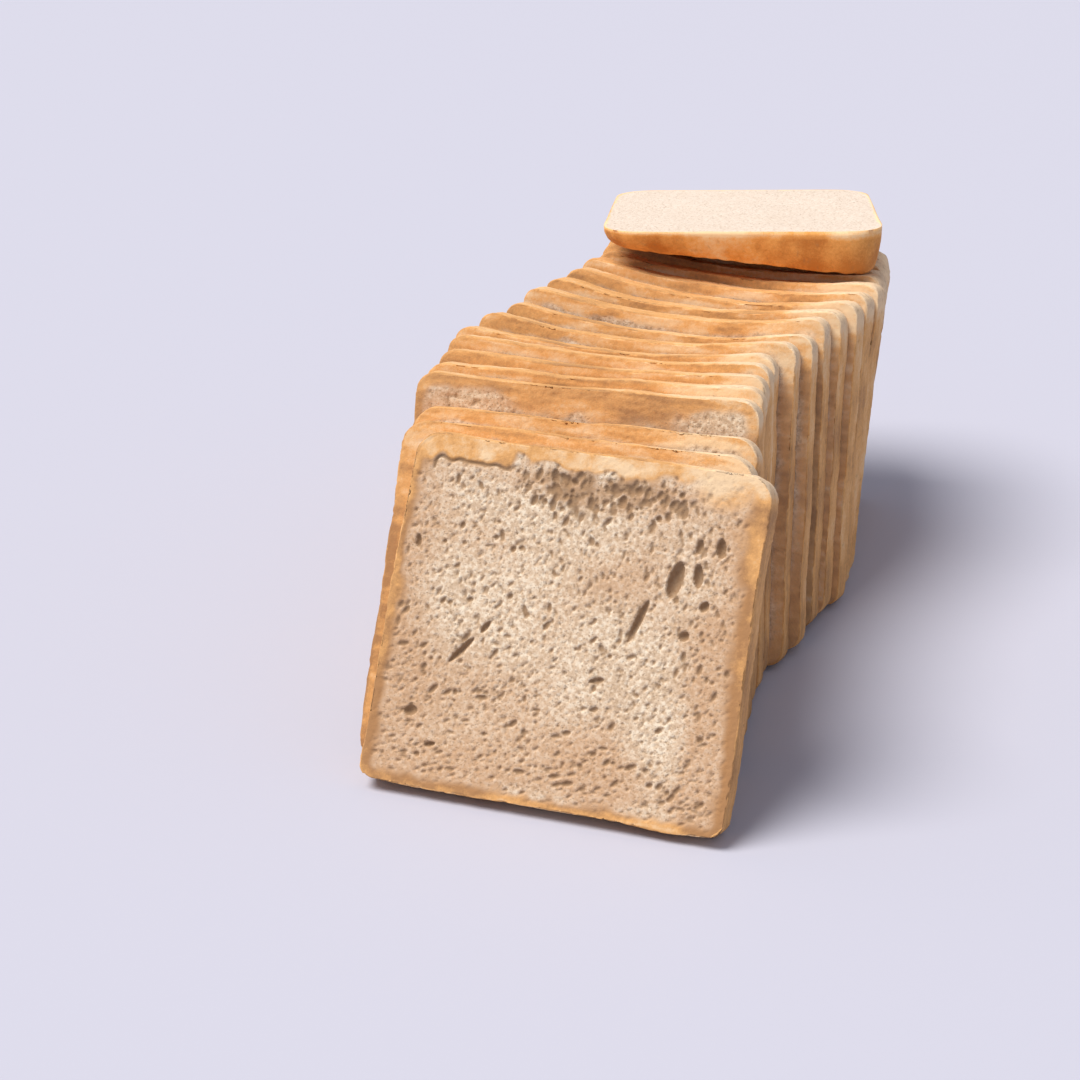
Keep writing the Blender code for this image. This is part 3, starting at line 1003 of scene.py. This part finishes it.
@dataclass
class Heel(BreadPiece):
    """The wedge-shaped end crust, its cut face up.

    Attributes:
        thin: Thickness at the left.
        thick: Thickness at the right.
        side_share: Share of the thickness that the crust's side takes up.
        tuck: How far the side draws in below, as a share of the outline.
        ring_step: How far apart two rings read the maps.
    """

    texture: Texture
    width: float = 107.0
    thin: float = 7.0
    thick: float = 20.5
    side_share: float = 0.92
    tuck: float = 0.09
    yaw: float = 13.0
    tilt_back: float = 5.0
    tilt_left: float = 2.4
    columns: int = 130
    rows: int = 116
    side_rings: int = 15
    belly_rings: int = 25
    ring_step: float = 1.1
    node: str = "heel"
    name: str = "bread_heel"
    slot: str = "bread_heel"

    def section(self, node: bpy.types.Object) -> Section:
        """Reads the cut face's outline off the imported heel, its origin at the middle of the front edge."""
        yaw, back, left = (math.radians(angle) for angle in (self.yaw, self.tilt_back, self.tilt_left))
        turn = Matrix.Rotation(yaw, 3, "Z") @ Matrix.Rotation(-back, 3, "X") @ Matrix.Rotation(-left, 3, "Y")
        own = node_points(node, turn)
        top = own[:, 2].max()
        ring, start = outline_of(own[own[:, 2] > top - FLAT_SLACK][:, :2], 0.8)
        return Section(ring - start, turn, turn @ (Vector((start[0], start[1], top)) * MM))

    def thickness(self, x: Array) -> Array:
        """Thickness of the wedge at places across it."""
        return self.thin + (self.thick - self.thin) * np.clip(x / self.width + 0.5, 0.0, 1.0)

    def fractions(self) -> tuple[Array, Array]:
        """How the cut face's sides are divided, evenly."""
        return np.linspace(0.0, 1.0, self.columns + 1), np.linspace(0.0, 1.0, self.rows + 1)

    def cut_face(self, mesh: BreadMesh, loop: Loop, edge: Array) -> None:
        """Builds the cut face with fine pores and a thin crust at its rim.

        Args:
            mesh: The mesh to add to.
            loop: The cut face's edge.
            edge: The numbers of the edge's points.
        """
        places = loop.grid(*self.fractions())
        x, y = places[:, 0], places[:, 1]
        inside = distance_inside(places, loop)
        maps = self.texture
        crust = 0.8 * smooth_step(1.9, 0.2, inside + 0.3 * maps.lumps.at(x, y))
        pores = 0.4 * maps.crumb.at(x + 17.0, y + 5.0) * (1.0 - 0.8 * crust)
        sag = np.maximum(0.3 * smooth_step(0.0, 25.0, inside) + 0.1 * maps.patches.at(x, y), 0.0)
        drop = smooth_step(0.0, 0.8, inside) * (pores + sag + 0.05)
        tone = 0.1 + 0.08 * maps.patches.at(x + 40.0, y)
        # The pore value is painted shade in the cut face's pores
        values = np.stack([crust, np.clip(pores / 1.2, 0.0, 1.0), tone], axis=1)
        numbers = mesh.add_points(np.column_stack([places, -drop]), values)
        mesh.add_grid(numbers.reshape(self.rows - 1, -1), edge, flip=False)

    def rings(self) -> list[tuple[float, float]]:
        """Outline scale and share of the thickness of the crust's rings, from the cut face down."""
        turned_in = 1.0 - self.tuck
        side = [
            (1.0 - self.tuck * (1.0 - math.cos(angle)), self.side_share * math.sin(angle))
            for angle in np.linspace(0.0, math.pi / 2, self.side_rings)
        ]
        scales = np.linspace(turned_in, 0.05, self.belly_rings + 1)[1:]
        shares = np.interp(scales, (0.0, 0.3, 0.6, turned_in), (1.0, 1.0, 0.98, self.side_share))
        return side + list(zip(scales.tolist(), shares.tolist()))

    def crust_ring(self, loop: Loop, number: int, scale: float, share: float,
                   run: float) -> tuple[Array, Array]:
        """Shapes one ring of the crust, uneven and pitted.

        Args:
            loop: The cut face's edge.
            number: The ring's number, from the cut face down.
            scale: Its size as a share of the edge.
            share: Its depth as a share of the thickness.
            run: Where it reads the maps.

        Returns:
            The ring's points, and their crust, pore and tone values.
        """
        middle, maps = loop.middle, self.texture
        around = lengths_along(loop.points)
        place = middle + scale * (loop.points - middle)
        down = share * self.thickness(place[:, 0])
        calm = min(1.0, number / 3.0)
        lumps = maps.lumps.along(around + 5.0, run)
        patch = maps.patches.along(around + 80.0, run * 0.8)
        pits = maps.pits.along(around, run + 50.0)
        dent = calm * (0.16 * lumps + 0.05 * maps.grain.along(around, run) + 0.6 * pits) + 0.12
        dent = np.maximum(dent, -0.1)
        inward = (middle - place) / np.maximum(np.linalg.norm(middle - place, axis=1, keepdims=True), 1e-6)
        place = place + inward * (dent * (1.0 - 0.7 * share))[:, None]
        height = np.minimum(dent * share - down, 0.0)
        ends = smooth_step(0.25, 0.5, np.abs(place[:, 0] / self.width - 0.03))
        # Painted shade: browner low down the crust side, and towards the ends where the crust turns away
        # from the light
        tone = np.clip(0.4 + 0.16 * patch + 0.06 * lumps + 0.3 * share**2 + 0.28 * ends, 0.0, 1.0)
        if number < 2:
            tone = tone - 0.35
        crust = np.full_like(around, 1.0 if number else 0.9)
        # Painted shade in the crust's pits
        pore = np.clip(pits / 0.4, 0.0, 1.0) * calm * 0.5
        return np.column_stack([place, height]), np.stack([crust, pore, tone], axis=1)

    def build(self, frame: dict, finish: "BreadFinish") -> bpy.types.Object:
        """Makes the heel.

        Args:
            finish: The heel's finish.

        Returns:
            The heel's object.
        """
        section = self.section(frame["nodes"][self.node])
        loop = smooth_loop(section.outline, *self.fractions())
        mesh = BreadMesh()
        rings = self.rings()
        runs = np.cumsum(np.full(len(rings), self.ring_step))
        rows = []
        for number, ((scale, share), run) in enumerate(zip(rings, runs)):
            rows.append(mesh.add_points(*self.crust_ring(loop, number, scale, share, run)))
        numbers = mesh.add_rows(rows)
        middle = loop.middle
        mesh.add_fan(numbers[-1], (*middle, -self.thickness(middle[0])), (1.0, 0.0, 0.7), flip=True)
        self.cut_face(mesh, loop, numbers[0])
        return self.dress(mesh, section, finish)


class Socket:
    """A shader socket that takes part in Python expressions; each operator adds its Math node."""

    def __init__(self, tree: "Tree", socket: bpy.types.NodeSocket) -> None:
        """Wraps a socket of a tree."""
        self.tree = tree
        self.socket = socket

    def _with(self, operation: str, *values: "Socket | float") -> "Socket":
        """The result of a Math node on these values."""
        return self.tree.node("ShaderNodeMath", {"operation": operation}, dict(enumerate(values)))

    def __add__(self, other: "Socket | float") -> "Socket":
        """self + other."""
        return self._with("ADD", self, other)

    def __radd__(self, other: float) -> "Socket":
        """other + self."""
        return self._with("ADD", other, self)

    def __sub__(self, other: "Socket | float") -> "Socket":
        """self - other."""
        return self._with("SUBTRACT", self, other)

    def __rsub__(self, other: float) -> "Socket":
        """other - self."""
        return self._with("SUBTRACT", other, self)

    def __mul__(self, other: "Socket | float") -> "Socket":
        """self * other."""
        return self._with("MULTIPLY", self, other)

    def __rmul__(self, other: float) -> "Socket":
        """other * self."""
        return self._with("MULTIPLY", other, self)

    def ramp(self, low: float, high: float) -> "Socket":
        """Rises from 0 at low to 1 at high and stays there, smoothly."""
        values = {"Value": self, "From Min": low, "From Max": high}
        return self.tree.node("ShaderNodeMapRange", {"interpolation_type": "SMOOTHSTEP"}, values, "Result")


class Tree:
    """The node tree of one material."""

    def __init__(self, material: bpy.types.Material) -> None:
        """Empties the material's tree."""
        material.use_nodes = True
        self.tree = material.node_tree
        self.tree.nodes.clear()

    def add(self, kind: str, settings: dict, values: dict) -> bpy.types.ShaderNode:
        """Adds a node.

        Args:
            kind: The node's type.
            settings: Its own settings, which are set first; a ramp's stops go under "stops".
            values: Values or links of its sockets, by name or number.

        Returns:
            The node.
        """
        made = self.tree.nodes.new(kind)
        for name, value in settings.items():
            if name == "stops":
                ramp = made.color_ramp.elements
                while len(ramp) < len(value):
                    ramp.new(0.5)
                for element, (place, colour) in zip(ramp, value):
                    element.position = place
                    element.color = (*colour, 1.0)
            else:
                setattr(made, name, value)
        for name, value in values.items():
            if isinstance(value, Socket):
                self.tree.links.new(value.socket, made.inputs[name])
            elif made.inputs[name].type == "RGBA":
                made.inputs[name].default_value = (*value, 1.0)
            else:
                made.inputs[name].default_value = value
        return made

    def node(self, kind: str, settings: dict, values: dict, result: str | int = 0) -> Socket:
        """Adds a node as add does and returns one of its outputs, by name or number."""
        return Socket(self, self.add(kind, settings, values).outputs[result])

    def mix(self, factor: Socket | float, first: Socket | Colour, second: Socket | Colour) -> Socket:
        """A colour between two, from the first at 0 to the second at 1."""
        return self.node("ShaderNodeMix", {"data_type": "RGBA"}, {0: factor, 6: first, 7: second}, 2)

    def layer(self, name: str) -> Socket:
        """One of the maps that the mesh carries."""
        return self.node("ShaderNodeAttribute", {"attribute_name": name}, {}, "Fac")

    def ramp(self, factor: Socket, stops: tuple[tuple[float, Colour], ...]) -> Socket:
        """A colour read off a ramp of stops."""
        return self.node("ShaderNodeValToRGB", {"stops": stops}, {0: factor}, "Color")

    def noise(self, place: Socket, scale: float, detail: float, rough: float) -> Socket:
        """Noise with bumps of about 1 / scale."""
        values = {"Vector": place, "Scale": scale, "Detail": detail, "Roughness": rough}
        return self.node("ShaderNodeTexNoise", {}, values)

    def cells(self, place: Socket, scale: float) -> Socket:
        """Distance from the nearest of scattered points, about 1 / scale apart."""
        values = {"Vector": place, "Scale": scale, "Randomness": 1.0}
        return self.node("ShaderNodeTexVoronoi", {"feature": "F1"}, values, "Distance")

    def surface(self, values: dict) -> None:
        """Ends the tree in the surface shader with these values, and the output."""
        shader = self.node("ShaderNodeBsdfPrincipled", {}, values)
        self.add("ShaderNodeOutputMaterial", {}, {"Surface": shader})


@dataclass(frozen=True)
class BreadInputs:
    """What a bread finish is mixed from: the mesh's maps, noise of several sizes and small holes."""

    crust: Socket
    crumb_share: Socket
    pore: Socket
    tone: Socket
    grain: Socket
    fleck: Socket
    drift: Socket
    lines: Socket
    hole: Socket
    fine_hole: Socket

    @classmethod
    def of(cls, tree: Tree) -> "BreadInputs":
        """Adds the nodes for them, with places in millimetres and lines across the leaning slices."""
        place = tree.node("ShaderNodeTexCoord", {}, {}, "Object")
        place = tree.node("ShaderNodeVectorMath", {"operation": "SCALE"}, {0: place, "Scale": 1.0 / MM})
        lean = {"Vector": place, "Angle": math.radians(USUAL_LEAN)}
        drawn = tree.node("ShaderNodeVectorRotate", {"rotation_type": "X_AXIS"}, lean)
        drawn = tree.node("ShaderNodeVectorMath", {"operation": "MULTIPLY"}, {0: drawn, 1: LINE_SCALE})
        fleck = tree.noise(place, 2.2, 3.0, 0.6)
        drift = tree.noise(place, 0.06, 3.0, 0.55)
        crust = tree.layer("crust")
        crumb_share = 1.0 - crust
        return cls(
            crust=crust,
            crumb_share=crumb_share,
            pore=tree.layer("pore"),
            tone=tree.layer("tone"),
            grain=tree.noise(place, 0.75, 4.0, 0.55),
            fleck=fleck,
            drift=drift,
            lines=tree.noise(drawn, 1.0, 3.0, 0.6),
            # Small holes, sunk by the bump and darkened with painted shade
            hole=(tree.cells(place, 0.62) + (fleck - 0.5) * 0.4).ramp(0.32, 0.12) * crumb_share,
            fine_hole=tree.cells(place, 1.15).ramp(0.4, 0.05) * crumb_share * (0.4 + drift),
        )


@dataclass(frozen=True)
class BreadFinish:
    """Crumb and crust in one: the mesh's crust map says which, its pore map darkens the hollows with painted
    shade.
    """

    name: str
    crumb_dark: Colour = (0.54, 0.385, 0.25)
    crumb: Colour = (0.69, 0.52, 0.36)
    crumb_light: Colour = (0.86, 0.73, 0.56)
    crumb_warm: Colour = (0.53, 0.275, 0.125)
    # Painted shade: the colour that pores, holes and pits are darkened towards
    hollow: Colour = (0.30, 0.18, 0.095)
    crust_pale: Colour = (0.84, 0.60, 0.36)
    crust_gold: Colour = (0.73, 0.385, 0.14)
    crust_brown: Colour = (0.42, 0.215, 0.09)
    roughness: float = 0.82
    specular: float = 0.3
    line_share: float = 0.42
    bump_strength: float = 0.38
    bump_distance: float = 0.4 * MM

    def crumb_colour(self, tree: Tree, bread: BreadInputs) -> Socket:
        """Colour of the crumb: mottled, warmer by tone, and darker in its holes with painted shade."""
        mottle = bread.grain * 0.85 + bread.fleck * 0.15 + (bread.drift - 0.5) * 0.2
        crumb = tree.ramp(mottle, ((0.34, self.crumb_dark), (0.48, self.crumb), (0.62, self.crumb_light)))
        crumb = tree.mix(bread.tone.ramp(0.25, 0.85) * 0.55, crumb, self.crumb_warm)
        # Painted shade in the small holes
        crumb = tree.mix(bread.fine_hole * 0.4, crumb, self.hollow)
        return tree.mix(bread.hole * 0.42, crumb, self.hollow)

    def crust_colour(self, tree: Tree, bread: BreadInputs) -> Socket:
        """Colour of the crust: pale to brown by tone, with drifts, lines and flecks."""
        bake = bread.tone + (bread.drift - 0.5) * 0.6 + (bread.lines - 0.5) * self.line_share
        bake = bake + (bread.grain - 0.5) * 0.4 + (bread.fleck - 0.5) * 0.35
        return tree.ramp(bake, ((0.12, self.crust_pale), (0.5, self.crust_gold), (0.9, self.crust_brown)))

    def colour(self, tree: Tree, bread: BreadInputs) -> Socket:
        """Crumb and crust joined along a ragged edge, with painted shade in the pores."""
        edge = bread.crust + (bread.grain - 0.5) * 0.5 * bread.crust * bread.crumb_share * 4.0
        crumb, crust = self.crumb_colour(tree, bread), self.crust_colour(tree, bread)
        colour = tree.mix(edge.ramp(0.1, 0.9), crumb, crust)
        return tree.mix(bread.pore.ramp(0.02, 0.95) * (0.86 - 0.3 * bread.crust), colour, self.hollow)

    def bump(self, tree: Tree, bread: BreadInputs) -> Socket:
        """Fine relief: grain and flecks all over, lines on the crust, holes in the crumb."""
        height = bread.grain * (0.5 + 0.3 * bread.crust) + bread.fleck * (0.5 + 0.2 * bread.crust)
        height = height + bread.lines * bread.crust * self.line_share
        height = height - bread.fine_hole * 0.8 - bread.hole * 0.8
        values = {"Height": height, "Strength": self.bump_strength, "Distance": self.bump_distance}
        return tree.node("ShaderNodeBump", {}, values)

    def material(self) -> bpy.types.Material:
        """The finish as a material, made once and then shared."""
        found = bpy.data.materials.get(self.name)
        if found:
            return found
        material = bpy.data.materials.new(self.name)
        tree = Tree(material)
        bread = BreadInputs.of(tree)
        tree.surface({
            "Base Color": self.colour(tree, bread),
            "Roughness": self.roughness + 0.12 * bread.crumb_share,
            "Normal": self.bump(tree, bread),
            "Specular IOR Level": self.specular,
        })
        return material


SLICE_FINISH = BreadFinish("sandwich_bread")
HEEL_FINISH = BreadFinish(
    "heel_bread",
    crumb_dark=(0.65, 0.535, 0.435),
    crumb=(0.70, 0.59, 0.49),
    crumb_light=(0.75, 0.645, 0.55),
    crust_pale=(0.93, 0.66, 0.38),
    crust_gold=(0.85, 0.40, 0.11),
    crust_brown=(0.55, 0.205, 0.042),
    line_share=0.15,
)


@dataclass(frozen=True)
class Studio:
    """A plain pale floor, soft light and the camera at the photograph's viewing angle."""

    camera_place: Place = (0.191315, -0.768886, 0.36)
    heading: float = 17.1
    pitch: float = 22.96
    roll: float = -1.22
    sensor: float = 36.0
    lens: float = 76.83
    view_depth: float = 50.0
    floor_colour: Colour = (0.49, 0.492, 0.58)
    floor_roughness: float = 0.9
    floor_half: float = 7.0
    key_strength: float = 3.85
    key_spread: float = 34.0
    key_colour: Colour = (1.0, 0.965, 0.91)
    key_way: Place = (0.55, 0.33, -1.25)
    fill_strength: float = 0.45
    fill_colour: Colour = (0.86, 0.88, 1.0)

    def floor(self) -> None:
        """Lays the floor, level with the slices' feet."""
        half = self.floor_half
        data = bpy.data.meshes.new("floor")
        corners = [(-half, -half, 0), (half, -half, 0), (half, half, 0), (-half, half, 0)]
        data.from_pydata(corners, [], [(0, 1, 2, 3)])
        floor = bpy.data.objects.new("floor", data)
        bpy.context.scene.collection.objects.link(floor)
        material = bpy.data.materials.new("pale_floor")
        Tree(material).surface({"Base Color": self.floor_colour, "Roughness": self.floor_roughness})
        data.materials.append(material)

    def light(self) -> None:
        """Adds the key light from the upper left, a weak fill and the pale surroundings."""
        key = bpy.data.lights.new("key", "SUN")
        key.energy = self.key_strength
        key.angle = math.radians(self.key_spread)
        key.color = self.key_colour
        lamp = bpy.data.objects.new("key", key)
        lamp.rotation_mode = "QUATERNION"
        lamp.rotation_quaternion = Vector(self.key_way).normalized().to_track_quat("-Z", "Y")
        bpy.context.scene.collection.objects.link(lamp)
        world = bpy.data.worlds.new("surroundings")
        world.use_nodes = True
        background = world.node_tree.nodes["Background"]
        background.inputs["Color"].default_value = (*self.fill_colour, 1.0)
        background.inputs["Strength"].default_value = self.fill_strength
        bpy.context.scene.world = world
        bpy.context.scene.view_settings.view_transform = "Standard"

    def camera(self) -> None:
        """Adds the camera: heading turned left of +Y, pitched down and rolled."""
        heading, pitch, roll = (math.radians(angle) for angle in (self.heading, self.pitch, self.roll))
        ahead = (-math.sin(heading) * math.cos(pitch), math.cos(heading) * math.cos(pitch), -math.sin(pitch))
        forward = Vector(ahead)
        right = Vector((math.cos(heading), math.sin(heading), 0.0))
        down = forward.cross(right)
        right_row = math.cos(roll) * right + math.sin(roll) * down
        down_row = -math.sin(roll) * right + math.cos(roll) * down
        data = bpy.data.cameras.new("camera")
        data.sensor_width = self.sensor
        data.lens = self.lens
        data.clip_end = self.view_depth
        camera = bpy.data.objects.new("camera", data)
        turn = Matrix((right_row, -down_row, -forward)).transposed()
        camera.matrix_world = Matrix.Translation(Vector(self.camera_place)) @ turn.to_4x4()
        bpy.context.scene.collection.objects.link(camera)
        bpy.context.scene.camera = camera


def slices(texture: Texture) -> list[Slice]:
    """All slices from the front, each as fine as it shows, with the painted shade on their sides fading
    towards the far end.
    """
    row: list[Slice] = [FrontSlice(1, texture), NearSlice(2, texture), NearSlice(3, texture)]
    row.append(NearSlice(4, texture, top_cover=1.3, face_tone=0.68, face_crust=0.78))
    for number in range(5, SLICE_COUNT):
        # Painted shade on the sides, less of it further along the row
        row.append(Slice(number, texture, painted_side_shade=max(0.06, 0.32 - 0.03 * (number - 5))))
    row.append(LastSlice(SLICE_COUNT, texture))
    return row


def main() -> None:
    """Builds every piece in order, then the stage."""
    logging.basicConfig(level=logging.INFO, format="%(name)s: %(message)s")
    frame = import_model()
    texture = Texture.bake()
    for piece in slices(texture):
        piece.build(frame, SLICE_FINISH)
    Heel(texture).build(frame, HEEL_FINISH)
    studio = Studio()
    studio.floor()
    studio.light()
    studio.camera()


if __name__ == "__main__":
    main()
